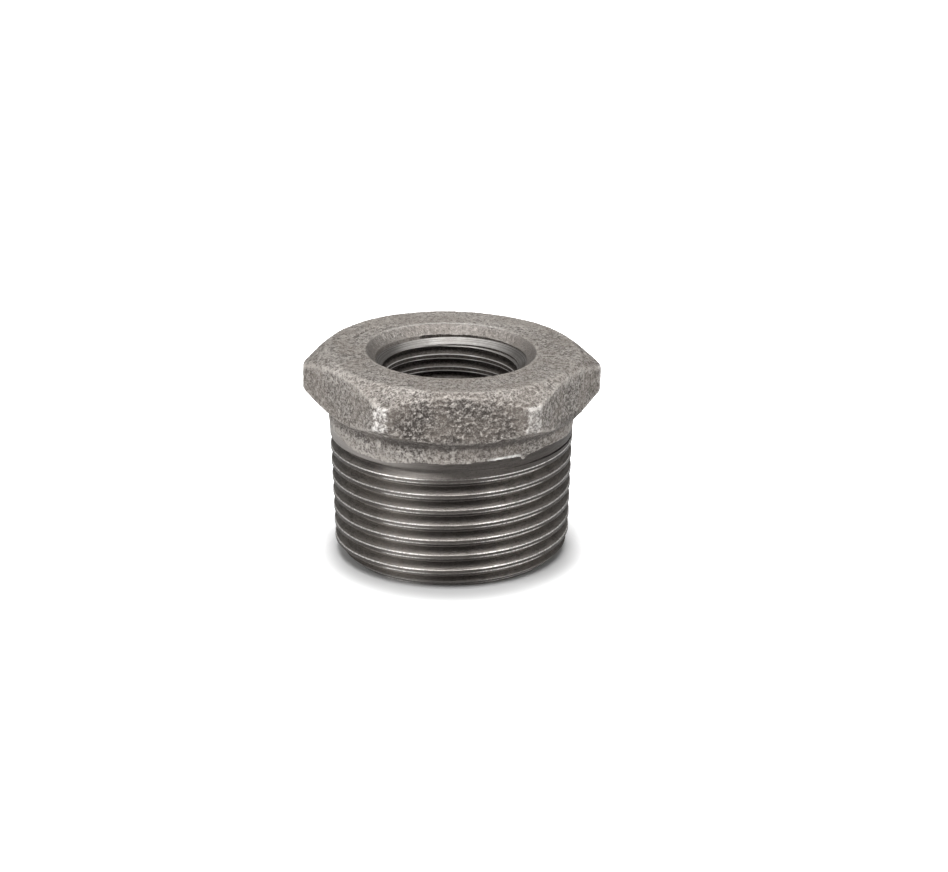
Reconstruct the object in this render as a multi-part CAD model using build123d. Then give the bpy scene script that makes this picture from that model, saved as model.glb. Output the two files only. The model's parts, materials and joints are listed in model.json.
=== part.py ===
from build123d import *
from math import atan, cos, degrees, radians, tan
import os

# A 1 in by 1/2 in pipe bushing with an outside hexagon head, cast in malleable iron.
# It stands on its small threaded end: z = 0 is that end and Z is the axis. Sizes are in mm.

INCH = 25.4
TAPER = 1 / 32  # growth of a pipe thread's radius along it, 3/4 in on the diameter per foot
FLANK_ANGLE = 30.0  # slope of both flanks of a pipe thread, from square to the axis

# Outside thread, 1 in taper pipe thread
outer_pitch = INCH / 11.5
outer_crest_radius = 16.25  # at the small end
outer_crest_flat = 0.55
outer_root_flat = 0.15
runout_turns = 1.0  # the last groove, which climbs out of the metal
runout_gap = 1.2  # from the end of that groove to the collar
runout_angle = 303.0  # where it ends, seen from above
runout_stations = 24  # sections that the shallowing groove is drawn through
lead_chamfer = 1.75  # width of the 45 degree chamfer at the small end

# Thread blank and the cast collar above it
shank_length = 18.5
collar_length = 2.5
collar_step = 0.25  # how far the collar's top stands out past the thread's crests
collar_draft = 3.0
neck_round = 0.7

# Hexagon head
across_flats = 36.2
head_height = 7.95  # from the top of the collar
corner_round = 2.6
corner_under_rise = 2.45  # from the collar's top up to the foot of each corner
corner_top_drop = 2.12  # from the head's face down to the top of each corner
top_face_inset = 0.75  # of the round top face inside the flats
edge_round = 0.5
head_tilt = 1.37  # the casting leans this far to the right, out of square with the threads

# Inside thread, 1/2 in taper pipe thread
inner_pitch = INCH / 14
tap_drill_radius = 9.13
inner_crest_flat = 0.345
inner_root_flat = 0.12
inner_thread_length = 17.0  # from the lower edge of the mouth's step
inner_top_angle = 29.0  # where the groove leaves the bore, seen from above

# Mouth of the bore in the head
mouth_step = 0.15  # how far the step's wall stands back from the thread's root
mouth_step_depth = 0.4
mouth_width = 1.3  # of the cast countersink above the step
mouth_angle = 45.0
mouth_rim_round = 0.4
bore_chamfer_angle = 45.0

# Small end of the bore
bore_end_chamfer = 0.8

cutter_clearance = 0.15  # how far a thread cutter reaches past the metal
turning_clearance = 1.0  # how far a lathe tool reaches past the metal
joint_overlap = 0.6  # how far the thread blank runs up inside the collar
SEAM_LEAD = 120.0  # how far a blank's seam is turned from the start of its groove

thread_cone_angle = degrees(atan(TAPER))
flank = tan(radians(FLANK_ANGLE))
outer_depth = (outer_pitch - outer_crest_flat - outer_root_flat) / 2 / flank
inner_depth = (inner_pitch - inner_crest_flat - inner_root_flat) / 2 / flank
collar_top = shank_length + collar_length
collar_radius = outer_crest_radius + TAPER * shank_length + collar_step
overall_height = collar_top + head_height
top_face_radius = across_flats / 2 - top_face_inset
corner_radius = (across_flats / 2 - corner_round) / cos(radians(30)) + corner_round
inner_root_radius = tap_drill_radius + inner_depth
mouth_step_radius = inner_root_radius + mouth_step
mouth_radius = mouth_step_radius + mouth_width
mouth_depth = mouth_width / tan(radians(mouth_angle))
bore_top = overall_height - mouth_depth - mouth_step_depth


def outer_crest_at(z):
    return outer_crest_radius + TAPER * z


def revolved(points, radii=0):
    """Turn a closed outline of (radius, height) points, rounded where asked, about the Z axis."""
    corners = [Vector(r, 0, z) for r, z in points]
    outline = FilletPolyline(corners, radius=radii, close=True)
    return revolve(make_face(outline), axis=Axis.Z)


def leaning(solid, height):
    """Lean a cast form to the right about a height on the threads' axis."""
    return Pos(0, 0, height) * Rot(0, head_tilt, 0) * Pos(0, 0, -height) * solid


def head_and_collar():
    """A round casting coned off above and below, cut to a hexagon where it is wide enough."""
    reach = corner_radius + turning_clearance
    under_rise = corner_under_rise * (reach - collar_radius) / (corner_radius - collar_radius)
    top_drop = corner_top_drop * (reach - top_face_radius) / (corner_radius - top_face_radius)
    draft = collar_length * tan(radians(collar_draft))
    casting = revolved(
        [
            (0, shank_length),
            (collar_radius - draft, shank_length),
            (collar_radius, collar_top),
            (reach, collar_top + under_rise),
            (reach, overall_height - top_drop),
            (top_face_radius, overall_height),
            (0, overall_height),
        ],
        [0, 0, neck_round, 0, 0, 0, 0],
    )
    hexagon = RegularPolygon(across_flats / 2, 6, major_radius=False)
    hexagon = fillet(hexagon.vertices(), corner_round)
    prism = Pos(0, 0, shank_length) * extrude(hexagon, collar_length + head_height)
    head = casting & prism
    rims = [e for e in head.edges() if e.geom_type in (GeomType.HYPERBOLA, GeomType.BSPLINE)]
    return leaning(fillet(rims, edge_round), shank_length + collar_length / 2)


def thread_groove(profile, start_z, pitch, turns, start_angle):
    """Carry a (radius, height) profile up a right-hand helix that widens with the taper."""
    path = Edge.make_helix(
        pitch, pitch * turns, profile[0][0], (0, 0, start_z), (0, 0, 1), thread_cone_angle
    )
    section = Wire.make_polygon([Vector(r, 0, start_z + z) for r, z in profile], close=True)
    groove = Solid.sweep(Face(section), path, is_frenet=True)
    return groove.rotate(Axis.Z, start_angle)


def outer_section(crest, depth):
    """One groove of the outside thread, open at the crest and as deep as asked."""
    root = crest - depth
    outside = crest + cutter_clearance
    half_width = (outside - root) * flank + outer_root_flat / 2
    return [
        (root, -outer_root_flat / 2),
        (outside, -half_width),
        (outside, half_width),
        (root, outer_root_flat / 2),
    ]


def outer_runout(full_z, full_angle):
    """The last groove, lofted through stations that grow shallower until it leaves the metal."""
    stations = []
    for step in range(runout_stations + 1):
        share = step / runout_stations
        z = full_z + share * runout_turns * outer_pitch
        section = outer_section(outer_crest_at(z), outer_depth * (1 - share))
        outline = Wire.make_polygon([Vector(r, 0, z + dz) for r, dz in section], close=True)
        stations.append(outline.rotate(Axis.Z, full_angle + 360 * share * runout_turns))
    return Solid.make_loft(stations)


def threaded_shank():
    """The tapered blank, its groove cut from below the small end, and its 45 degree end chamfer."""
    start_z = -outer_pitch
    full_z = shank_length - runout_gap - runout_turns * outer_pitch
    full_turns = (full_z - start_z) / outer_pitch
    full_angle = runout_angle - 360 * runout_turns
    start_angle = full_angle - 360 * full_turns
    blank_length = shank_length + joint_overlap
    shank = Solid.make_cone(outer_crest_radius, outer_crest_at(blank_length), blank_length)
    shank = shank.rotate(Axis.Z, start_angle + SEAM_LEAD)
    section = outer_section(outer_crest_at(start_z), outer_depth)
    shank = shank - thread_groove(section, start_z, outer_pitch, full_turns, start_angle)
    shank = shank - outer_runout(full_z, full_angle)
    below = turning_clearance
    above = lead_chamfer + turning_clearance
    inner = outer_crest_radius - lead_chamfer - below
    outer = outer_crest_radius + turning_clearance
    end_chamfer = revolved([(inner, -below), (outer, -below), (outer, above)])
    return shank - end_chamfer.rotate(Axis.Z, start_angle + SEAM_LEAD)


def mouth():
    """What the cast countersink takes out of the head, down into the bore's step."""
    foot = overall_height - (mouth_radius - inner_root_radius) / tan(radians(mouth_angle))
    top = overall_height + turning_clearance
    top_radius = mouth_radius + turning_clearance * tan(radians(mouth_angle))
    cutter = revolved([(0, foot), (inner_root_radius, foot), (top_radius, top), (0, top)])
    return leaning(cutter, overall_height)


def bore():
    """What the drill, its countersink and the small end's chamfer take out along the axis."""
    chamfer = (mouth_step_radius - tap_drill_radius) / tan(radians(bore_chamfer_angle))
    return revolved(
        [
            (0, 0),
            (tap_drill_radius + bore_end_chamfer, 0),
            (tap_drill_radius, bore_end_chamfer),
            (tap_drill_radius, bore_top - chamfer),
            (mouth_step_radius, bore_top),
            (mouth_step_radius, overall_height),
            (0, overall_height),
        ]
    )


def inner_groove():
    """The inside thread: full at the mouth, and shallower down the straight drilled hole."""
    start_z = bore_top - inner_thread_length
    root = inner_root_radius - TAPER * inner_thread_length
    inside = tap_drill_radius - cutter_clearance - TAPER * inner_thread_length
    half_width = (root - inside) * flank + inner_root_flat / 2
    section = [
        (inside, -half_width),
        (root, -inner_root_flat / 2),
        (root, inner_root_flat / 2),
        (inside, half_width),
    ]
    turns = inner_thread_length / inner_pitch
    return thread_groove(section, start_z, inner_pitch, turns, inner_top_angle - 360 * turns)


def hex_bushing():
    """The casting with its bore and mouth cut and both threads on it."""
    head = head_and_collar() - mouth()
    rim = head.faces().sort_by(Axis.Z)[-1].inner_wires()[0].edges()
    return threaded_shank() + fillet(rim, mouth_rim_round) - bore() - inner_groove()


os.makedirs("parts", exist_ok=True)
bushing = hex_bushing()
bushing.label = "hex_bushing"
export_step(bushing, "parts/hex_bushing.step")
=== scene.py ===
# %% [markdown]
# # A cast iron reducing bushing
#
# A bushing is one piece of malleable iron. It is cast with a hexagon head and a plain collar, then
# a die cuts a tapered pipe thread on its outside, and a drill, a countersink and a tap open its
# bore. The pieces below are made in the same order: the casting first, then the outside thread,
# then the cutters for the bore. Last they are joined and cut with booleans into one closed mesh.
#
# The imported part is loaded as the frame. It gives the main sizes, and the finished mesh stands for
# it.

# %% Load the frame
import json
import math

import bpy
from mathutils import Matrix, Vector


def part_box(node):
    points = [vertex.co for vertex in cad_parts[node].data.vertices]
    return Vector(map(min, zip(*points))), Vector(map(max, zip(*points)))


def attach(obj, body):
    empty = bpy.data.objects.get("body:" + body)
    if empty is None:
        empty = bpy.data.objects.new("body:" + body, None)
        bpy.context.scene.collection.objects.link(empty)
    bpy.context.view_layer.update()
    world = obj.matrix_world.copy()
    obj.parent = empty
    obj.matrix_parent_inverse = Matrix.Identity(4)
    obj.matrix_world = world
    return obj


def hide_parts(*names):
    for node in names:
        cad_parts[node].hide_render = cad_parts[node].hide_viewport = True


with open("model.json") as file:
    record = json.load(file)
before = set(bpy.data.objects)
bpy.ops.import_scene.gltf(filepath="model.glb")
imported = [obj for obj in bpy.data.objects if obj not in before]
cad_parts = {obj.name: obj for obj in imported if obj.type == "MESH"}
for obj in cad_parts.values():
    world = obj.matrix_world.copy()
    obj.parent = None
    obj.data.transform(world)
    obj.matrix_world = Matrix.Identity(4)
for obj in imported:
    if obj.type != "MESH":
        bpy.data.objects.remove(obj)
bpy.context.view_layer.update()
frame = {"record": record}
part_low, part_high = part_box("hex_bushing")
mounts = {mount["name"]: mount for mount in frame["record"]["mounts"]}
print("part box in mm", [round(c * 1000, 2) for c in (*part_low, *part_high)])

# %% [markdown]
# The real sizes are all a few millimetres or less, so the bushing is modelled in millimetres and
# made metres at the end. What the frame knows is taken from it. The rest are the sizes of the cuts
# and of the cast forms.

# %% Sizes in millimetres
MM = 0.001
TAPER = 1 / 32  # growth of a pipe thread's radius along it
FLANK = math.tan(math.radians(30))  # a thread's flanks slope by 30 degrees

crest_radius = mounts["outside_thread"]["dims"]["r_mm"]
shank_length = mounts["outside_thread"]["dims"]["length_mm"]
drill_radius = mounts["inside_thread"]["dims"]["r_mm"]
across_flats = (part_high.y - part_low.y) / MM

outer_pitch = 25.4 / 11.5
inner_pitch = 25.4 / 14
collar_top = shank_length + 2.5
head_top = collar_top + 7.95
mouth_radius = 11.75
step_radius = 10.45
step_height = head_top - (mouth_radius - step_radius)
chamfer_top = step_height - 0.4
lean = math.radians(1.37)
lean_height = (shank_length + collar_top) / 2
skin = 0.07  # room that the smooth casting leaves for its grain
print("across flats", round(across_flats, 2), "head top", round(head_top, 2), "drill", drill_radius)

# %% [markdown]
# Modelling by hand means choosing what an operator acts on. These helpers choose one object, enter
# edit mode with nothing or with chosen edges or faces selected, and apply a modifier once it is
# set. Doubled points are merged only when they all but touch, because the booleans leave real
# points close together.

# %% Helpers to choose and apply
MERGE = 0.0001


def only(piece):
    """Make one object the only selected one."""
    bpy.ops.object.select_all(action="DESELECT")
    piece.select_set(True)
    bpy.context.view_layer.objects.active = piece


def edit(piece, kind, test):
    """Enter edit mode with the vertices, edges or faces selected whose place passes the test."""
    only(piece)
    bpy.ops.object.mode_set(mode="EDIT")
    bpy.ops.mesh.select_mode(type=kind)
    bpy.ops.mesh.select_all(action="DESELECT")
    bpy.ops.object.mode_set(mode="OBJECT")
    mesh = piece.data
    parts = {"VERT": mesh.vertices, "EDGE": mesh.edges, "FACE": mesh.polygons}[kind]
    for part in parts:
        points = [part.co] if kind == "VERT" else [mesh.vertices[i].co for i in part.vertices]
        part.select = test(points)
    bpy.ops.object.mode_set(mode="EDIT")


def everything(points):
    return True


def leave():
    bpy.ops.object.mode_set(mode="OBJECT")


def applied(piece, kind, **settings):
    """Add a modifier, set it and apply it."""
    only(piece)
    modifier = piece.modifiers.new(kind.title(), kind)
    for name, value in settings.items():
        setattr(modifier, name, value)
    bpy.ops.object.modifier_apply(modifier=modifier.name)


def face_out(piece):
    """Merge doubled points and turn every face outward."""
    edit(piece, "VERT", everything)
    bpy.ops.mesh.remove_doubles(threshold=MERGE)
    bpy.ops.mesh.normals_make_consistent(inside=False)
    leave()


def triangles(piece):
    piece.data.calc_loop_triangles()
    return len(piece.data.loop_triangles)


# %% [markdown]
# The iron shows four surfaces: the cast skin, the die-cut thread, the bright countersink and the
# dark bore. Each piece gets all four slots in the same order, so that a boolean can hand its faces
# over with their finish.

# %% Material slots
FINISHES = ["cast_skin", "cut_thread", "countersink", "tapped_bore"]
finishes = {name: bpy.data.materials.new(name) for name in FINISHES}
print("finishes", FINISHES)


def finish_as(piece, name):
    """Give a piece all the slots, and its faces the one that is named."""
    piece.data.materials.clear()
    for finish in finishes.values():
        piece.data.materials.append(finish)
    for face in piece.data.polygons:
        face.material_index = FINISHES.index(name)


# %% [markdown]
# A lathe or a mould of revolution makes round forms. Here a filled circle is extruded upward,
# station by station, and resized each time, which is how one would build it by hand. An alternative
# is the Spin operator, but extruded stations keep each ridge as one clean ring.

# %% A round form built up from stations
def turned(name, stations, segments=192, centre=(0, 0)):
    """Build a closed round form through (radius, height) stations from the bottom up."""
    x, y = centre
    radius, height = stations[0]
    bpy.ops.object.select_all(action="DESELECT")
    bpy.ops.mesh.primitive_circle_add(
        vertices=segments, radius=radius, fill_type="NGON", location=(x, y, height)
    )
    piece = bpy.context.object
    piece.name = name
    bpy.ops.object.transform_apply(location=True, rotation=True, scale=True)
    bpy.ops.object.mode_set(mode="EDIT")
    bpy.ops.mesh.select_mode(type="FACE")
    bpy.ops.mesh.select_all(action="SELECT")
    for next_radius, next_height in stations[1:]:
        bpy.ops.mesh.extrude_region_move(
            TRANSFORM_OT_translate={"value": (0, 0, next_height - height)}
        )
        share = next_radius / radius
        bpy.ops.transform.resize(value=(share, share, 1), center_override=(x, y, next_height))
        radius, height = next_radius, next_height
    leave()
    face_out(piece)
    return piece


def cut(piece, tool, how="DIFFERENCE"):
    """Apply a boolean of two closed meshes and delete the tool."""
    applied(piece, "BOOLEAN", operation=how, solver="MANIFOLD", object=tool)
    bpy.data.objects.remove(tool)
    print(piece.name, how.lower(), "leaves", triangles(piece), "triangles")


# %% [markdown]
# The casting's head is a hexagonal prism with rounded corners. Above and below it is coned off, so
# that the flats end in the arcs that the real one shows. The prism is a six-sided cylinder with its
# upright edges bevelled, and the cones come from a round form that the prism is intersected with.

# %% Hexagon prism with rounded corners
flat_distance = across_flats / 2 - skin
corner_round = 2.6
spare = 2
bpy.ops.object.select_all(action="DESELECT")
bpy.ops.mesh.primitive_cylinder_add(
    vertices=6,
    radius=flat_distance / math.cos(math.radians(30)),
    depth=head_top + spare - shank_length,
    location=(0, 0, (head_top + shank_length) / 2),
    rotation=(0, 0, math.radians(30)),
)
casting = bpy.context.object
casting.name = "casting"
bpy.ops.object.transform_apply(location=True, rotation=True, scale=True)
edit(casting, "EDGE", lambda points: abs(points[0].z - points[1].z) > 1)
bpy.ops.mesh.bevel(offset=corner_round * FLANK, segments=16, affect="EDGES")
leave()
print("prism has", len(casting.data.polygons), "faces")

# %% [markdown]
# The mould has a little draft, so the collar widens towards the head. The cones start where the
# collar and the round top face end, and they are as steep as the rise and the drop that the corners
# show.

# %% Cones above and below the flats, and the collar
collar_radius = 17.08 - skin
collar_draft = 0.13
neck_radius = collar_radius + 0.05
corner_radius = (flat_distance - corner_round) / math.cos(math.radians(30)) + corner_round
face_radius = 17.35
corner_rise, corner_drop = 2.45, 2.12
under_slope = corner_rise / (corner_radius - neck_radius)
over_slope = corner_drop / (corner_radius - face_radius)
reach = corner_radius + 1
round_form = turned(
    "round_form",
    [
        (collar_radius - collar_draft, shank_length),
        (neck_radius, collar_top),
        (reach, collar_top + (reach - neck_radius) * under_slope),
        (reach, head_top - skin - (reach - face_radius) * over_slope),
        (face_radius, head_top - skin),
    ],
)
cut(casting, round_form, "INTERSECT")

# %% [markdown]
# The mouth is a cast countersink above a short step. It was cored true to the threads, while the
# rest of the casting leans a little, so its cutter stands off the casting's centre and comes true
# when the casting is leaned.

# %% Cast mouth
mouth_shift = (head_top - lean_height) * math.sin(lean)
below, above = 0.6, 1
mouth = turned(
    "mouth",
    [(step_radius - below, step_height - below), (mouth_radius + above, head_top + above)],
    centre=(-mouth_shift, 0),
)
cut(casting, mouth)

# %% [markdown]
# Sand moulds soften every edge and leave a lumpy, grainy skin. A voxel remesh gives the whole
# casting an even net of small faces, smoothing rounds its edges by about half a millimetre, and
# Displace modifiers with procedural textures raise the lumps and the grain. The flat at the front
# is much rougher than the others, so it gets a second, coarser grain through a vertex group.

# %% Even net and soft edges
voxel = 0.25
applied(casting, "REMESH", mode="VOXEL", voxel_size=voxel)
applied(casting, "SMOOTH", factor=0.5, iterations=1)
print("casting has", triangles(casting), "triangles")


# %% Lumps and grain of the sand mould
def relief(piece, name, size, strength, depth=2, group="", middle=0.5):
    """Raise and sink the surface by procedural clouds of the given grain size."""
    texture = bpy.data.textures.new(name, "CLOUDS")
    texture.noise_scale = size
    texture.noise_depth = depth
    settings = {"strength": strength, "mid_level": middle, "vertex_group": group}
    applied(piece, "DISPLACE", texture=texture, **settings)


rough_half_width, side_fade = 9.0, 1.5
rough_low, rough_high, height_fade = collar_top + 0.9, head_top - 0.6, 0.6
front_rough = casting.vertex_groups.new(name="front_rough")
for vertex in casting.data.vertices:
    x, y, z = vertex.co
    from_side = (rough_half_width - abs(x)) / side_fade
    inside = min(from_side, (z - rough_low) / height_fade, (rough_high - z) / height_fade, 1)
    if y < -flat_distance + 0.4 and inside > 0:
        front_rough.add([vertex.index], inside, "REPLACE")
relief(casting, "lumps", 4.0, 0.12, depth=1)
relief(casting, "grain", 0.6, 0.10, depth=2)
relief(casting, "rough_front", 0.5, 0.6, depth=2, group="front_rough", middle=0.58)
print("rough front flat covers", sum(1 for v in casting.data.vertices if v.groups), "points")

# %% [markdown]
# Smoothing has drawn the six corners in, so they are moved back out to the frame's size. The
# highest grains of the front flat are then pressed flat at the size over the flats, as a spanner's
# jaw would leave them.

# %% Corners out, high grains pressed flat
corner_start = 19.0
corner_push = 0.1
clear = 0.02
for vertex in casting.data.vertices:
    x, y, z = vertex.co
    past = math.hypot(x, y) - corner_start
    if past > 0:
        vertex.co.x += corner_push * past * x / math.hypot(x, y)
        vertex.co.y += corner_push * past * y / math.hypot(x, y)
    vertex.co.y = min(max(vertex.co.y, clear - across_flats / 2), across_flats / 2 - clear)
print("casting reaches", [round(c, 2) for c in casting.dimensions])

# %% [markdown]
# Gas in the iron leaves small pits, and another fitting has scratched the top in an arc round the
# mouth. Points near each mark are sunk, most in its middle.

# %% Two small pits and a scratch in the top
pit_places = [(12.4, -12.0), (18.0, 0.7)]
pit_radius, pit_depth = 0.4, 0.35
scratch_arc, scratch_half_width, scratch_depth = 14.1, 0.28, 0.16
scratch_start, scratch_end = 4.8, 9.9
sunk = 0
for vertex in casting.data.vertices:
    for x, y in pit_places:
        away = math.hypot(vertex.co.x - x, vertex.co.y - y)
        if vertex.co.z > head_top - 3 and away < pit_radius:
            vertex.co.z -= pit_depth * (1 - away / pit_radius)
            sunk += 1
    x, y, z = vertex.co
    aside = abs(math.hypot(x + mouth_shift, y) - scratch_arc)
    in_arc = x < 0 and scratch_start < y < scratch_end
    if z > head_top - 1 and in_arc and aside < scratch_half_width:
        vertex.co.z -= scratch_depth * (1 - aside / scratch_half_width)
        sunk += 1
print("points sunk for pits and scratch:", sunk)

# %% [markdown]
# The die that cut the thread stopped where it met the collar, and the sand left the collar's lower
# edge uneven. It runs from low at the left to high at the right. Each point near the edge is moved
# up or down by how far the real edge is from the drawn one there.

# %% Uneven lower edge of the collar
BURR = [(-59, 18.65), (-57.2, 17.8), (-55, 18.65)]
LEFT = [(-180, 18.5), (-160, 18.3), (-140, 17.6), (-121, 17.55), (-105, 18.15)]
RIGHT = [(-39, 18.9), (-24, 18.6), (0, 18.5), (180, 18.5)]
EDGE_HEIGHTS = LEFT + BURR + RIGHT
edge_top = collar_top - 0.4


def edge_height(degrees):
    """Height of the collar's lower edge at an angle seen from above."""
    for (a, low), (b, high) in zip(EDGE_HEIGHTS, EDGE_HEIGHTS[1:]):
        if a <= degrees <= b:
            share = (1 - math.cos(math.pi * (degrees - a) / (b - a))) / 2
            return low + (high - low) * share
    return shank_length


for vertex in casting.data.vertices:
    nearness = (edge_top - vertex.co.z) / (edge_top - shank_length)
    if nearness > 0:
        shift = edge_height(math.degrees(math.atan2(vertex.co.y, vertex.co.x))) - shank_length
        vertex.co.z += shift * min(nearness, 1)
edit(casting, "VERT", lambda points: points[0].z < shank_length + 0.7)
bpy.ops.mesh.vertices_smooth(factor=0.5, repeat=8)
leave()
print("collar's edge at the front", round(edge_height(-90), 2))

# %% [markdown]
# The casting wasn't held quite true when it was threaded, so the head leans. The lean is turned
# about a point inside the collar. The few grains that would reach past the frame's corners are
# brought back to it.

# %% Lean the casting out of square
edit(casting, "VERT", everything)
bpy.ops.transform.rotate(value=-lean, orient_axis="Y", center_override=(0, 0, lean_height))
leave()
for vertex in casting.data.vertices:
    vertex.co.x = min(max(vertex.co.x, part_low.x / MM + clear), part_high.x / MM - clear)
finish_as(casting, "cast_skin")
highest = max(casting.data.vertices, key=lambda v: v.co.z).co
print("highest point of the casting", [round(c, 2) for c in highest])

# %% [markdown]
# A pipe thread is a helix on a cone. Its profile, one pitch from groove to groove, is drawn by
# extruding a single point from place to place. The Screw modifier carries the profile round and up
# into a net that follows the thread, so its crests stay crisp. No operator tapers a helix or lets
# its last groove run out, so each point is then moved by a rule: its depth below the crest is kept,
# shared out where the die leaves the metal, and the crest follows the cone.

# %% Profile drawn point by point
def drawn(name, points):
    """Draw an open line in the XZ plane through (radius, height) points."""
    bpy.ops.object.select_all(action="DESELECT")
    bpy.ops.mesh.primitive_plane_add(size=1)
    line = bpy.context.object
    line.name = name
    bpy.ops.object.mode_set(mode="EDIT")
    bpy.ops.mesh.select_all(action="SELECT")
    bpy.ops.mesh.merge(type="CENTER")
    radius, height = points[0]
    bpy.ops.transform.translate(value=(radius, 0, height))
    for next_radius, next_height in points[1:]:
        bpy.ops.mesh.extrude_vertices_move(
            TRANSFORM_OT_translate={"value": (next_radius - radius, 0, next_height - height)}
        )
        radius, height = next_radius, next_height
    leave()
    return line


def between(a, b, count):
    """Points evenly spaced from a up to, but without, b."""
    shares = [i / count for i in range(count)]
    return [(a[0] + (b[0] - a[0]) * share, a[1] + (b[1] - a[1]) * share) for share in shares]


def one_pitch(pitch, crest, crest_flat, root_flat, edge, flank_cuts, outward=1):
    """One pitch of a thread, from a groove's middle to the next, with eased crest edges."""
    depth = (pitch - crest_flat - root_flat) / 2 / FLANK
    root = crest - outward * depth
    ease = crest - outward * edge
    start, low_root = (root, 0), (root, root_flat / 2)
    low_ease = (ease, pitch / 2 - crest_flat / 2 - edge * FLANK)
    low_crest = (crest, pitch / 2 - crest_flat / 2 + edge / 2)
    high = [(radius, pitch - height) for radius, height in (low_crest, low_ease, low_root)]
    points = [start] + between(low_root, low_ease, flank_cuts) + [low_ease]
    points += between(low_crest, high[0], 2) + [high[0]]
    points += between(high[1], high[2], flank_cuts) + [high[2], (root, pitch)]
    return points


# %% Threaded rod from a profile
def threaded(name, points, pitch, first_groove, turns, steps):
    """Screw a profile up from the height of its first groove into a rod."""
    rod = drawn(name, [(radius, first_groove + height) for radius, height in points])
    applied(
        rod,
        "SCREW",
        axis="Z",
        angle=2 * math.pi,
        screw_offset=pitch,
        iterations=turns,
        steps=steps,
        render_steps=steps,
        use_merge_vertices=False,
    )
    print(name, "net has", len(rod.data.vertices), "points, reaches", round(rod.dimensions.z, 2))
    return rod


def capped(rod, low, high):
    """Close a threaded rod with flat ends at two heights."""
    edit(rod, "VERT", everything)
    bpy.ops.mesh.remove_doubles(threshold=MERGE)
    for height, direction in ((low, -1), (high, 1)):
        bpy.ops.mesh.select_all(action="SELECT")
        bpy.ops.mesh.bisect(
            plane_co=(0, 0, height), plane_no=(0, 0, direction), use_fill=True, clear_outer=True
        )
    bpy.ops.mesh.select_all(action="SELECT")
    bpy.ops.mesh.normals_make_consistent(inside=False)
    leave()


# %% Outside thread
crest_flat = 0.56
root_flat = 0.15
outer_steps = 300
runout_end = shank_length - 1.2
runout_angle = 303.0
runout_share = 0.36
crest_ease = 0.07
spare_below, spare_above = 0.3, 0.6
outer_points = one_pitch(outer_pitch, crest_radius, crest_flat, root_flat, crest_ease, 4)
groove_height = (runout_end - outer_pitch * runout_angle / 360) % outer_pitch
first_groove = groove_height - 3 * outer_pitch
shank = threaded("shank", outer_points, outer_pitch, first_groove, 12, outer_steps)
for index, vertex in enumerate(shank.data.vertices):
    turn = index // len(outer_points) / outer_steps
    past_crest = index % len(outer_points) > len(outer_points) // 2
    groove = first_groove + (turn + past_crest) * outer_pitch
    share = min(max((runout_end - groove) / outer_pitch / runout_share, 0), 1)
    radius = math.hypot(vertex.co.x, vertex.co.y)
    crest = crest_radius + TAPER * vertex.co.z
    wanted = crest - (crest_radius - radius) * share
    vertex.co.x *= wanted / radius
    vertex.co.y *= wanted / radius
capped(shank, -spare_below, shank_length + spare_above)
relief(shank, "die_marks", 1.1, 0.03, depth=2)
relief(shank, "nicks", 0.3, 0.035, depth=1)
print("shank has", triangles(shank), "triangles")

# %% [markdown]
# The blank was turned before it was threaded, and the tool left a line where it stopped. The
# casting sat a little off centre in the chuck, so the line is deep at the right and fades away at
# the left. A torus set off centre cuts it. The die head then opened at once, so the last groove
# ends within a third of a turn.

# %% Line where the turning stopped
line_height = 17.4
line_radius, line_stand_off = 0.2, 0.11
line_off_centre = (-0.19, 0.07)
bpy.ops.object.select_all(action="DESELECT")
bpy.ops.mesh.primitive_torus_add(
    major_radius=crest_radius + TAPER * line_height + line_stand_off,
    minor_radius=line_radius,
    major_segments=256,
    minor_segments=8,
    location=(*line_off_centre, line_height),
)
turning_line = bpy.context.object
turning_line.name = "turning_line"
cut(shank, turning_line)

# %% [markdown]
# A 45 degree chamfer at the small end leads the thread into a fitting. Keeping only what lies
# inside a coned round form gives it, and cuts the rod to its length in the same step.

# %% Lead-in chamfer at the small end
end_radius = 14.5
clear_radius = crest_radius + 1.5
lead_in = turned(
    "lead_in",
    [
        (end_radius, 0),
        (clear_radius, clear_radius - end_radius),
        (clear_radius, shank_length + spare),
    ],
)
cut(shank, lead_in, "INTERSECT")
finish_as(shank, "cut_thread")

# %% [markdown]
# The bore is cut by two tools. The drill, its countersink and the chamfer at the small end share
# one round form. The tap's grooves are another threaded rod, whose ridges point outward and widen
# towards the mouth, because the hole is straight and the thread isn't.

# %% Drill and countersink
end_chamfer = 0.8
land_radius = drill_radius + 0.25
entry = chamfer_top - 1.16
land_foot = chamfer_top - 0.99
land_top = chamfer_top - 0.69
borer = turned(
    "borer",
    [
        (drill_radius + end_chamfer + 1, -1),
        (drill_radius, end_chamfer),
        (drill_radius, entry),
        (land_radius, land_foot),
        (land_radius, land_top),
        (step_radius, chamfer_top),
        (step_radius, head_top),
    ],
)
finish_as(borer, "tapped_bore")
uncut_side = -4
for face in borer.data.polygons:
    in_chamfer = entry < face.center.z < chamfer_top
    if in_chamfer and not land_foot < face.center.z < land_top:
        face.material_index = FINISHES.index("countersink")
    if face.center.z > chamfer_top and face.center.x < uncut_side:
        face.material_index = FINISHES.index("cast_skin")

# %% [markdown]
# The tap is the same kind of rod with its ridges turned outward, drawn a little small so that its
# crests never lie in the drilled wall. Its upper end stops in the mouth's step.

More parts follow.
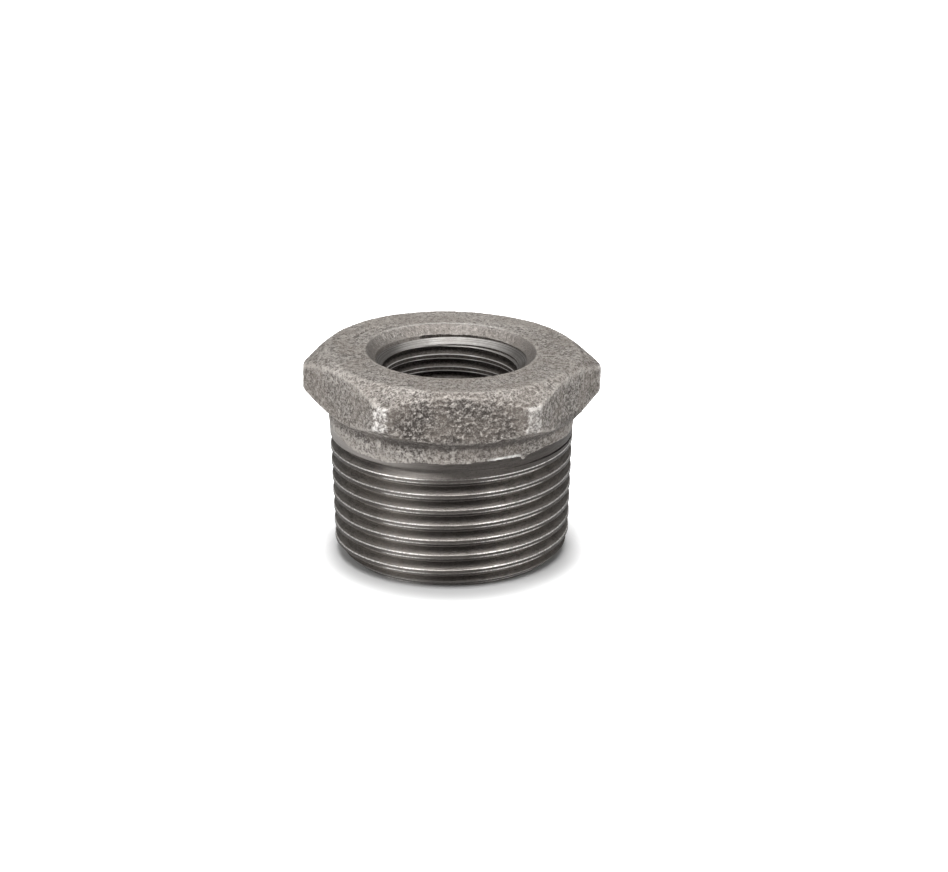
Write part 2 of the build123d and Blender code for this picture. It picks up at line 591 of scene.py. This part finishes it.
# %% Tap
tap_steps = 144
tap_length = 17.0
tap_top_angle = 29.0
tap_crest_flat, tap_root_flat, tap_ease = 0.5, 0.12, 0.04
tap_undersize, tap_overrun = 0.02, 0.2
tap_groove = (chamfer_top - inner_pitch * tap_top_angle / 360) % inner_pitch
tap_points = one_pitch(
    inner_pitch, drill_radius, tap_crest_flat, tap_root_flat, tap_ease, 3, outward=-1
)
first_tap_groove = tap_groove + 3 * inner_pitch
tap = threaded("tap", tap_points, inner_pitch, first_tap_groove, 14, tap_steps)
for vertex in tap.data.vertices:
    radius = math.hypot(vertex.co.x, vertex.co.y)
    wanted = radius - TAPER * (chamfer_top - vertex.co.z) - tap_undersize
    vertex.co.x *= wanted / radius
    vertex.co.y *= wanted / radius
capped(tap, chamfer_top - tap_length, chamfer_top + tap_overrun)
finish_as(tap, "tapped_bore")
print("tap has", triangles(tap), "triangles")

# %% [markdown]
# Now the three are put together. The joined and cut mesh is closed, and it is scaled to metres with
# its place kept in its points. Shading is smooth across the net and sharp at machined edges.

# %% Join, bore and tap
bushing = casting
cut(bushing, shank, "UNION")
cut(bushing, borer)
cut(bushing, tap)
bushing.name = "hex_bushing_iron"
bushing.data.name = "hex_bushing_iron"
bushing.vertex_groups.clear()
face_out(bushing)
only(bushing)
bushing.scale = (MM, MM, MM)
bpy.ops.object.transform_apply(location=True, rotation=True, scale=True)
bpy.ops.object.shade_smooth_by_angle(angle=math.radians(28))
print("bushing has", triangles(bushing), "triangles")

# %% [markdown]
# A boolean can leave a hole too small to see. Blender can select every edge that doesn't have
# exactly two faces, and there should be none.

# %% Check that it is closed
edit(bushing, "EDGE", lambda points: False)
bpy.ops.mesh.select_non_manifold(extend=False)
leave()
print("open or doubled edges:", sum(edge.select for edge in bushing.data.edges))
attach(bushing, "root")
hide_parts("hex_bushing")


# %% [markdown]
# Materials are built from nodes. A small helper makes a node, sets its plain values and links its
# inputs, and a few more do arithmetic, so that each finish reads as a short recipe. Places in the
# recipes are in millimetres.

# %% Node helpers
def node(tree, kind, values=None, **options):
    """Add a node, set its options, and set or link its inputs by name or number."""
    made = tree.nodes.new(kind)
    for name, value in options.items():
        setattr(made, name, value)
    for key, value in (values or {}).items():
        if isinstance(value, bpy.types.NodeSocket):
            tree.links.new(value, made.inputs[key])
        else:
            made.inputs[key].default_value = value
    return made


def maths(tree, how, a, b=0.0, c=0.0):
    """One step of arithmetic."""
    return node(tree, "ShaderNodeMath", {0: a, 1: b, 2: c}, operation=how).outputs[0]


def product(tree, value, *others):
    """Multiply values."""
    for other in others:
        value = maths(tree, "MULTIPLY", value, other)
    return value


def total(tree, *pairs):
    """Add up values, each times its share."""
    result = 0.0
    for value, share in pairs:
        result = maths(tree, "MULTIPLY_ADD", value, share, result)
    return result


def apart(tree, value, middle):
    """How far a value is from a middle, on either side."""
    return maths(tree, "ABSOLUTE", maths(tree, "SUBTRACT", value, middle))


def band(tree, value, low, high, start=0.0, end=1.0):
    """A value that goes smoothly from start to end as the input goes from low to high."""
    values = {"Value": value, 1: low, 2: high, 3: start, 4: end}
    return node(tree, "ShaderNodeMapRange", values, interpolation_type="SMOOTHSTEP").outputs[0]


def between_bands(tree, value, rise, fall):
    """One between a rise and a fall, each a pair of places, and nought outside them."""
    return product(tree, band(tree, value, *rise), band(tree, value, *fall, 1, 0))


def mixed(tree, share, a, b):
    """Mix two colours by a share."""
    made = node(tree, "ShaderNodeMix", {"Factor": share}, data_type="RGBA")
    for socket, value in zip((made.inputs[6], made.inputs[7]), (a, b)):
        if isinstance(value, bpy.types.NodeSocket):
            tree.links.new(value, socket)
        else:
            socket.default_value = (*value, 1)
    return made.outputs[2]


# %% Helpers for groups and finishes
def place_in_mm(tree):
    """Where a point is on the object, in millimetres."""
    place = node(tree, "ShaderNodeTexCoord").outputs["Object"]
    values = {0: place, "Scale": 1 / MM}
    return node(tree, "ShaderNodeVectorMath", values, operation="SCALE").outputs[0]


def group(name, inputs, outputs):
    """Start a shader node group with float inputs and named outputs."""
    tree = bpy.data.node_groups.new(name, "ShaderNodeTree")
    for label, value in inputs.items():
        socket = tree.interface.new_socket(label, in_out="INPUT", socket_type="NodeSocketFloat")
        socket.default_value = value
    for label in outputs:
        tree.interface.new_socket(label, in_out="OUTPUT", socket_type="NodeSocketFloat")
    given = tree.nodes.new("NodeGroupInput").outputs
    return tree, given, tree.nodes.new("NodeGroupOutput").inputs


def shared(tree, name, **values):
    """Place a shared group in a material."""
    made = node(tree, "ShaderNodeGroup", node_tree=bpy.data.node_groups[name])
    for label, value in values.items():
        made.inputs[label].default_value = value
    return made.outputs


def start(name):
    """Empty a finish and give it its shader and output."""
    finish = finishes[name]
    finish.use_nodes = True
    tree = finish.node_tree
    tree.nodes.clear()
    shader = node(tree, "ShaderNodeBsdfPrincipled")
    node(tree, "ShaderNodeOutputMaterial", {"Surface": shader.outputs["BSDF"]})
    return tree, shader


def complete(tree, shader, colour, roughness, metallic, height, distance, strength):
    """Give a finish its colour, roughness and metallic share, and a bump with its distance in mm."""
    bump = node(
        tree, "ShaderNodeBump", {"Height": height, "Distance": distance * MM, "Strength": strength}
    )
    values = {
        "Base Color": colour,
        "Roughness": roughness,
        "Metallic": metallic,
        "Normal": bump.outputs["Normal"],
    }
    for name, value in values.items():
        if isinstance(value, bpy.types.NodeSocket):
            tree.links.new(value, shader.inputs[name])
        else:
            shader.inputs[name].default_value = value
    print("finish has", len(tree.nodes), "nodes")


# %% [markdown]
# Two effects are shared. Iron grain is speckle at two sizes, with a height for the bump. Thread
# place turns a point on the object into how far across a groove it lies, by unrolling the helix:
# the height less the climb of the helix up to that angle, divided by the pitch. It also passes on
# the point's place and its distance from the axis.

# %% Iron grain
grain_tree, given, given_out = group(
    "iron_grain", {"Size": 0.3, "Patch": 3.0}, ["Speckle", "Patches", "Pits", "Height"]
)
place = place_in_mm(grain_tree)
fine_scale = maths(grain_tree, "DIVIDE", 1, given["Size"])
patch_scale = maths(grain_tree, "DIVIDE", 1, given["Patch"])
pit_scale = maths(grain_tree, "DIVIDE", 0.5, given["Size"])
fine = node(
    grain_tree,
    "ShaderNodeTexNoise",
    {"Vector": place, "Scale": fine_scale, "Detail": 3, "Roughness": 0.7},
).outputs["Fac"]
patches = node(
    grain_tree, "ShaderNodeTexNoise", {"Vector": place, "Scale": patch_scale, "Detail": 4}
).outputs["Fac"]
cells = node(grain_tree, "ShaderNodeTexVoronoi", {"Vector": place, "Scale": pit_scale})
pits = band(grain_tree, cells.outputs["Distance"], 0.12, 0.3, 1, 0)
grain_tree.links.new(band(grain_tree, fine, 0.36, 0.64), given_out["Speckle"])
grain_tree.links.new(band(grain_tree, patches, 0.35, 0.65), given_out["Patches"])
grain_tree.links.new(pits, given_out["Pits"])
grain_tree.links.new(maths(grain_tree, "MULTIPLY_ADD", pits, -0.3, fine), given_out["Height"])
print("iron grain has", len(grain_tree.nodes), "nodes")

# %% Thread place
place_tree, given, given_out = group(
    "thread_place", {"Pitch": outer_pitch, "Groove": 0.0}, ["Across", "Radius", "X", "Y", "Z"]
)
axes = node(place_tree, "ShaderNodeSeparateXYZ", {0: place_in_mm(place_tree)}).outputs
turn = maths(place_tree, "DIVIDE", maths(place_tree, "ARCTAN2", axes["Y"], axes["X"]), 2 * math.pi)
climb = maths(place_tree, "MULTIPLY", turn, given["Pitch"])
rise = maths(place_tree, "SUBTRACT", axes["Z"], climb)
rise = maths(place_tree, "SUBTRACT", rise, given["Groove"])
across = maths(place_tree, "DIVIDE", rise, given["Pitch"])
x_squared = maths(place_tree, "MULTIPLY", axes["X"], axes["X"])
radius = maths(place_tree, "MULTIPLY_ADD", axes["Y"], axes["Y"], x_squared)
place_tree.links.new(maths(place_tree, "FLOORED_MODULO", across, 1), given_out["Across"])
place_tree.links.new(maths(place_tree, "SQRT", radius), given_out["Radius"])
for axis in "XYZ":
    place_tree.links.new(axes[axis], given_out[axis])
print("thread place has", len(place_tree.nodes), "nodes")

# %% [markdown]
# The cast skin is iron under a thin black oxide. It is neither bare metal nor paint, so its shader
# is a little metallic and fairly rough. One value, its tone, goes from dark pits to paler rubbed
# grains. The mesh's own ridges are in it, which the shader reads as pointiness, so the colour
# follows the real lumps: the ridges are partly rubbed paler and partly a painted highlight, with
# painted shade in the hollows. The tone is also painted darker on the front flat as shade, and
# paler on the top, at the back and on the collar, most at its left, as painted light.

# %% Cast skin: tone
tree, shader = start("cast_skin")
spot = shared(tree, "thread_place")
grain = shared(tree, "iron_grain", Size=0.26, Patch=3.5)
grit = shared(tree, "iron_grain", Size=0.6, Patch=10)
# Paler ridges from pointiness: partly rubbed grain, partly painted highlight, with painted shade in
# hollows.
ridge_wear_and_painted_light = band(tree, node(tree, "ShaderNodeNewGeometry").outputs["Pointiness"], 0.47, 0.56)
above_neck = band(tree, spot["Z"], 21.2, 22.2)
# Painted shade: the front flat's tone is darker.
front_flat_painted_shade = product(tree, band(tree, spot["Y"], -17.6, -17.0, 1, 0), above_neck)
# Painted light: the tone is paler towards the back, where the mouth's rim also gets a painted
# highlight.
back_painted_light = band(tree, spot["Y"], 6.0, 12.5)
# Painted light: the top face's tone is paler.
top_painted_light = band(tree, spot["Z"], 26.2, 27.5)
# Painted light: the collar's tone is paler, most at its left.
collar_painted_light = band(tree, spot["Z"], 19.9, 20.4, 1, 0)
collar_light_share = band(tree, spot["X"], -8.0, -1.0, 0.34, 0.1)
tone = total(
    tree,
    (grain["Speckle"], 0.7),
    (grit["Speckle"], 0.6),
    (ridge_wear_and_painted_light, 0.9),
    (grain["Pits"], -0.4),
    (front_flat_painted_shade, -0.27),
    (collar_painted_light, collar_light_share),
    (top_painted_light, 0.17),
    (back_painted_light, 0.2),
)
tone = band(tree, tone, 0.25, 1.95)

# %% [markdown]
# The mouth's cast wall is calmer than the outside, so half of its tone is one plain value. It gets
# painted shade, most at the front, and its rim gets a painted highlight at the back, where it
# catches the light.

# %% Cast skin: mouth and colours
in_mouth = product(tree, band(tree, spot["Radius"], 11.6, 11.9, 1, 0), above_neck)
tone = product(tree, tone, maths(tree, "MULTIPLY_ADD", in_mouth, -0.5, 1))
tone = maths(tree, "MULTIPLY_ADD", in_mouth, 0.29, tone)
rim = product(tree, band(tree, apart(tree, spot["Radius"], 11.9), 0.0, 0.3, 0.45, 0), back_painted_light)
# Painted shade on the mouth's wall, strongest at the front.
mouth_painted_shade = product(tree, in_mouth, band(tree, spot["Y"], 0.0, 9.0, 0.7, 0.3))
pit_black, grain_grey, patch_brown = (0.055, 0.046, 0.04), (0.57, 0.53, 0.49), (0.26, 0.225, 0.195)
highlight_grey, mouth_shade_black = (0.8, 0.77, 0.74), (0.15, 0.135, 0.125)
speckled = mixed(tree, tone, pit_black, grain_grey)
skin_colour = mixed(tree, product(tree, grain["Patches"], 0.35), speckled, patch_brown)

# %% [markdown]
# The upright corners get a painted highlight, stronger at the left than at the right. The neck
# under the head gets painted shade, and a short stretch of the collar's lower edge, polished by the
# die, gets a painted highlight.

# %% Cast skin: painted highlights and painted shade
# Painted highlight on the upright corners, broken by grit, stronger at the left.
corner = maths(tree, "MULTIPLY_ADD", grit["Speckle"], 0.22, spot["Radius"])
corner_painted_highlight = product(
    tree,
    band(tree, corner, 20.3, 20.6),
    maths(tree, "MULTIPLY_ADD", tone, 0.9, 0.2),
    band(tree, spot["X"], -5.0, 5.0, 1.2, 0.68),
)
# Painted shade in the neck under the head, more at the right.
neck_painted_shade = product(
    tree,
    between_bands(tree, spot["Z"], (20.3, 21.0), (21.6, 22.8)),
    band(tree, spot["Radius"], 18.2, 18.8, 1, 0),
    band(tree, spot["X"], -14.0, -7.0, 0.3, 1),
    0.7,
)
# A short polished stretch of the collar's lower edge, painted as a highlight.
polished_painted_highlight = product(
    tree,
    between_bands(tree, spot["X"], (3.8, 5.8), (8.0, 9.2)),
    band(tree, spot["Z"], 18.9, 19.2, 1, 0),
    band(tree, spot["Y"], -13.0, -12.5, 1, 0),
    maths(tree, "MULTIPLY_ADD", tone, 0.5, 0.6),
)
skin_colour = mixed(tree, corner_painted_highlight, skin_colour, highlight_grey)
skin_colour = mixed(tree, mouth_painted_shade, skin_colour, mouth_shade_black)
skin_colour = mixed(tree, rim, skin_colour, highlight_grey)
skin_colour = mixed(tree, neck_painted_shade, skin_colour, (0.06, 0.052, 0.046))
skin_colour = mixed(tree, polished_painted_highlight, skin_colour, (1, 0.98, 0.95))
complete(
    tree,
    shader,
    skin_colour,
    roughness=band(tree, tone, 0, 1, 0.62, 0.38),
    metallic=band(tree, in_mouth, 0, 1, 0.35, 0.6),
    height=maths(tree, "MULTIPLY_ADD", grit["Height"], 2.2, grain["Height"]),
    distance=0.16,
    strength=0.9,
)

# %% [markdown]
# The die leaves the flanks dark and streaked along the thread, and the two edges of each crest get
# a painted highlight, dim in the middle of the front, the lower one only across the front. The
# streaks come from noise read across the groove, and the painted highlights from how near a point
# is to those edges.

# %% Cut thread: streaks
tree, shader = start("cut_thread")
spot = shared(tree, "thread_place", Pitch=outer_pitch, Groove=groove_height)
grain = shared(tree, "iron_grain", Size=0.2, Patch=2.5)
wander = node(
    tree, "ShaderNodeTexNoise", {"Vector": place_in_mm(tree), "Scale": 0.25, "Detail": 2}
).outputs["Fac"]
streak_place = node(
    tree, "ShaderNodeCombineXYZ", {"X": spot["Across"], "Y": product(tree, wander, 0.4)}
).outputs[0]
streaks = node(
    tree,
    "ShaderNodeTexNoise",
    {"Vector": streak_place, "Scale": 14, "Detail": 4, "Roughness": 0.7},
).outputs["Fac"]
streaked = mixed(tree, band(tree, streaks, 0.3, 0.7), (0.075, 0.066, 0.058), (0.3, 0.274, 0.25))
grainy = mixed(tree, product(tree, grain["Patches"], 0.4), streaked, (0.2, 0.183, 0.166))
grainy = mixed(tree, product(tree, grain["Speckle"], 0.45), grainy, (0.3, 0.28, 0.26))
grainy = mixed(tree, product(tree, grain["Pits"], 0.5), grainy, (0.03, 0.026, 0.023))

# %% Cut thread: painted highlights on the crest edges
upper_half = band(tree, spot["Across"], 0.49, 0.51)
from_crest = apart(tree, spot["Across"], 0.5)
edge_share = crest_flat / 2 / outer_pitch
line_share = band(tree, upper_half, 0, 1, edge_share - 0.02, edge_share)
line_reach = band(tree, upper_half, 0, 1, 0.07, 0.045)
edge_line = band(tree, apart(tree, from_crest, line_share), 0.012, line_reach, 1, 0)
broken = band(tree, grain["Speckle"], 0, 0.9, 0.3, 1)
lower_seen = between_bands(tree, spot["X"], (-10.2, -9.0), (10.5, 12.5))
from_middle = apart(tree, spot["X"], -0.6)
# Painted highlight on the crest edges, dimmed in the middle of the front.
crest_painted_highlight = product(
    tree,
    edge_line,
    broken,
    maths(tree, "MAXIMUM", lower_seen, upper_half),
    band(tree, spot["Z"], 16.8, 17.1, 1, 0),
    band(tree, from_middle, 2.0, 6.5, 0.1, 1),
)

# %% [markdown]
# Cutting oil has dried black on the crests. The plain band above the thread and the middle of the
# front get painted shade, and the foot is darker. Above the line where the turning stopped the iron
# at the left is clean and paler, and a painted sheen lies left of the front.

# %% Cut thread: oil, painted shade and painted sheen
on_crest = band(tree, from_crest, edge_share - 0.03, edge_share + 0.01, 0.8, 0)
lip = product(tree, band(tree, spot["Z"], 17.3, 17.5), band(tree, spot["X"], -11.0, -5.0, 1, 0))
# Painted shade on the plain band above the thread, under the collar.
above_thread_painted_shade = product(
    tree,
    band(tree, spot["Z"], 16.1, 16.7, 0, 0.75),
    maths(tree, "SUBTRACT", 1, lip),
    band(tree, spot["X"], -15.0, -10.0, 0.6, 1),
)
# Painted shade down the middle of the front of the thread.
thread_front_painted_shade = band(tree, from_middle, 2.0, 8.0, 0.6, 0)
at_foot = band(tree, spot["Z"], 1.0, 1.6, 0.2, 0)
# Oil on the crests, painted shade above the thread and down the front, and a darker foot.
oil_and_painted_shade = on_crest
for place_with_oil_or_shade in (above_thread_painted_shade, thread_front_painted_shade, at_foot):
    oil_and_painted_shade = maths(tree, "MAXIMUM", oil_and_painted_shade, place_with_oil_or_shade)
# Painted sheen on the thread left of the front.
sheen_rise = band(tree, spot["X"], -11.5, -8.0, 0, 0.28)
left_painted_sheen = product(tree, sheen_rise, band(tree, spot["X"], -7.0, -0.5, 1, 0))
thread_colour = mixed(tree, oil_and_painted_shade, grainy, (0.035, 0.03, 0.027))
thread_colour = mixed(tree, left_painted_sheen, thread_colour, (0.42, 0.39, 0.365))
thread_colour = mixed(tree, crest_painted_highlight, thread_colour, (0.95, 0.92, 0.89))
thread_colour = mixed(tree, product(tree, lip, 0.6), thread_colour, (0.42, 0.39, 0.37))
complete(
    tree,
    shader,
    thread_colour,
    roughness=band(tree, streaks, 0.3, 0.7, 0.48, 0.34),
    metallic=0.75,
    height=maths(tree, "MULTIPLY_ADD", streaks, 0.8, grain["Height"]),
    distance=0.06,
    strength=0.7,
)

# %% [markdown]
# The countersink is the last cut that a tool made, so it is the brightest metal. Its tool marks are
# rings, which come from noise read along the radius alone. It has painted shade at both sides.

# %% Bright countersink
tree, shader = start("countersink")
spot = shared(tree, "thread_place")
grain = shared(tree, "iron_grain", Size=0.4, Patch=2.0)
ring_place = node(tree, "ShaderNodeCombineXYZ", {"X": spot["Radius"]}).outputs[0]
rings = node(
    tree, "ShaderNodeTexNoise", {"Vector": ring_place, "Scale": 9, "Detail": 3}
).outputs["Fac"]
turned_metal = mixed(tree, band(tree, rings, 0.35, 0.65), (0.17, 0.16, 0.15), (0.66, 0.64, 0.615))
blotched = total(tree, (grain["Patches"], 0.4), (grain["Speckle"], 0.3))
metal = mixed(tree, blotched, turned_metal, (0.26, 0.245, 0.23))
# Painted shade at both sides of the countersink.
left_painted_shade = band(tree, spot["X"], -8.5, -4.5, 0.75, 0)
right_painted_shade = band(tree, spot["X"], 6.0, 9.5, 0, 0.68)
metal = mixed(tree, maths(tree, "ADD", left_painted_shade, right_painted_shade), metal, (0.045, 0.04, 0.036))
complete(
    tree,
    shader,
    metal,
    roughness=band(tree, rings, 0.3, 0.7, 0.58, 0.46),
    metallic=0.7,
    height=rings,
    distance=0.02,
    strength=0.5,
)

# %% [markdown]
# The tap leaves the bore dark with oil, and only the edges of its crests shine. They shine most at
# two places beside the middle, where they turn the lamps' light to the camera.

# %% Tapped bore
tree, shader = start("tapped_bore")
spot = shared(tree, "thread_place", Pitch=inner_pitch, Groove=tap_groove)
grain = shared(tree, "iron_grain", Size=0.3, Patch=2.0)
tap_edge_share = 0.155
from_edge = apart(tree, apart(tree, spot["Across"], 0.5), tap_edge_share)
crest_line = band(tree, from_edge, 0.015, 0.05, 1, 0)
from_glint = apart(tree, apart(tree, spot["X"], -0.4), 3.9)
glint = band(tree, from_glint, 0.0, 1.4, 1, 0.6)
dark = mixed(tree, grain["Speckle"], (0.055, 0.048, 0.042), (0.12, 0.108, 0.098))
complete(
    tree,
    shader,
    mixed(tree, product(tree, crest_line, glint), dark, (0.95, 0.92, 0.89)),
    roughness=0.38,
    metallic=0.6,
    height=grain["Height"],
    distance=0.03,
    strength=0.5,
)

# %% [markdown]
# The bushing stands on a pale floor under soft light. To camera rays the floor is paler and also
# glows a little, so it is white except close to the iron. There its grey and its glow are turned
# down as a painted shadow, round a point a little in front of the axis, where the shadow's middle
# is.

# %% Floor
bpy.ops.object.select_all(action="DESELECT")
bpy.ops.mesh.primitive_plane_add(size=6, location=(0, 0, 0))
floor = bpy.context.object
floor.name = "floor"
floor_finish = bpy.data.materials.new("floor")
floor_finish.use_nodes = True
tree = floor_finish.node_tree
tree.nodes.clear()
seen = node(tree, "ShaderNodeLightPath").outputs["Is Camera Ray"]
squeeze = {0: place_in_mm(tree), 1: (0.94, 1, 1), 2: (0, 4.0, 0)}
moved = node(tree, "ShaderNodeVectorMath", squeeze, operation="MULTIPLY_ADD").outputs["Vector"]
reach = node(tree, "ShaderNodeVectorMath", {0: moved}, operation="LENGTH").outputs["Value"]
# Painted shadow: to the camera the floor's grey darkens towards the iron.
paper_with_painted_shadow = mixed(tree, band(tree, reach, 12.0, 19.5), (0.4, 0.4, 0.4), (0.9, 0.9, 0.9))
paper_grey = mixed(tree, seen, (0.6, 0.6, 0.6), paper_with_painted_shadow)
paper = node(tree, "ShaderNodeBsdfDiffuse", {"Color": paper_grey})
# Painted shadow: the glow fades towards the iron.
glow_strength = product(tree, band(tree, reach, 14.0, 25.0), seen)
glow = node(tree, "ShaderNodeEmission", {"Strength": glow_strength})
both = node(tree, "ShaderNodeAddShader", {0: paper.outputs[0], 1: glow.outputs[0]})
node(tree, "ShaderNodeOutputMaterial", {"Surface": both.outputs[0]})
floor.data.materials.append(floor_finish)
print("floor finish has", len(tree.nodes), "nodes")

# %% [markdown]
# The world is white where the camera sees it and dim where it lights the iron, so that the lamps
# shape the metal. Three square lamps do that: a broad one from above and in front, and a weaker one
# at each side.

# %% World
world = bpy.data.worlds.new("studio")
bpy.context.scene.world = world
world.use_nodes = True
tree = world.node_tree
tree.nodes.clear()
rays = node(tree, "ShaderNodeLightPath").outputs
dim = 0.15
strength = maths(tree, "MAXIMUM", rays["Is Camera Ray"], dim)
sky = node(tree, "ShaderNodeBackground", {"Color": (1, 1, 1, 1), "Strength": strength})
node(tree, "ShaderNodeOutputWorld", {"Surface": sky.outputs[0]})
print("world lights at", dim)


# %% Lamps
def softbox(name, place, power, size=0.25):
    """A square area lamp that faces the bushing."""
    bpy.ops.object.select_all(action="DESELECT")
    bpy.ops.object.light_add(type="AREA", location=place)
    lamp = bpy.context.object
    lamp.name = name
    lamp.data.size = size
    lamp.data.energy = power
    aim = Vector((0, 0, head_top * MM / 2)) - Vector(place)
    lamp.rotation_euler = aim.to_track_quat("-Z", "Y").to_euler()
    print(name, "lamp", power, "W at", place)


softbox("top", (0, -0.2, 0.46), 3.0)
softbox("left", (-0.42, -0.25, 0.18), 1.5)
softbox("right", (0.42, -0.25, 0.18), 0.9)

# %% [markdown]
# The camera stands where the photographer's did. Its distance, height and lens come from fitting
# the hexagon and the thread to the picture. It looks a little past the bushing, which sits left of
# and below the picture's middle.

# %% Camera
IMAGE_WIDTH, IMAGE_HEIGHT = 948, 872
SENSOR_WIDTH = 36
FOCAL_PIXELS = 2717.0
AIM_PIXEL = (451.33, 486.2)
distance = 0.380
elevation = math.radians(21.7)
azimuth = math.radians(-92.15)
aim = Vector((0, 0, 0.00875))
level = math.cos(elevation)
back = Vector((math.cos(azimuth) * level, math.sin(azimuth) * level, math.sin(elevation)))
right = Vector((-math.sin(azimuth), math.cos(azimuth), 0))
up = back.cross(right)
metres_per_pixel = distance / FOCAL_PIXELS
target = aim + right * (IMAGE_WIDTH / 2 - AIM_PIXEL[0]) * metres_per_pixel
target += up * (AIM_PIXEL[1] - IMAGE_HEIGHT / 2) * metres_per_pixel
bpy.ops.object.select_all(action="DESELECT")
bpy.ops.object.camera_add(location=aim + back * distance)
camera = bpy.context.object
camera.rotation_euler = (target - camera.location).to_track_quat("-Z", "Y").to_euler()
camera.data.sensor_width = SENSOR_WIDTH
camera.data.lens = FOCAL_PIXELS / IMAGE_WIDTH * SENSOR_WIDTH
camera.data.clip_start = 0.01
camera.data.clip_end = 20
bpy.context.scene.camera = camera
bpy.context.scene.view_settings.view_transform = "Standard"
print("camera at", [round(c, 4) for c in camera.location], "lens", round(camera.data.lens, 1))
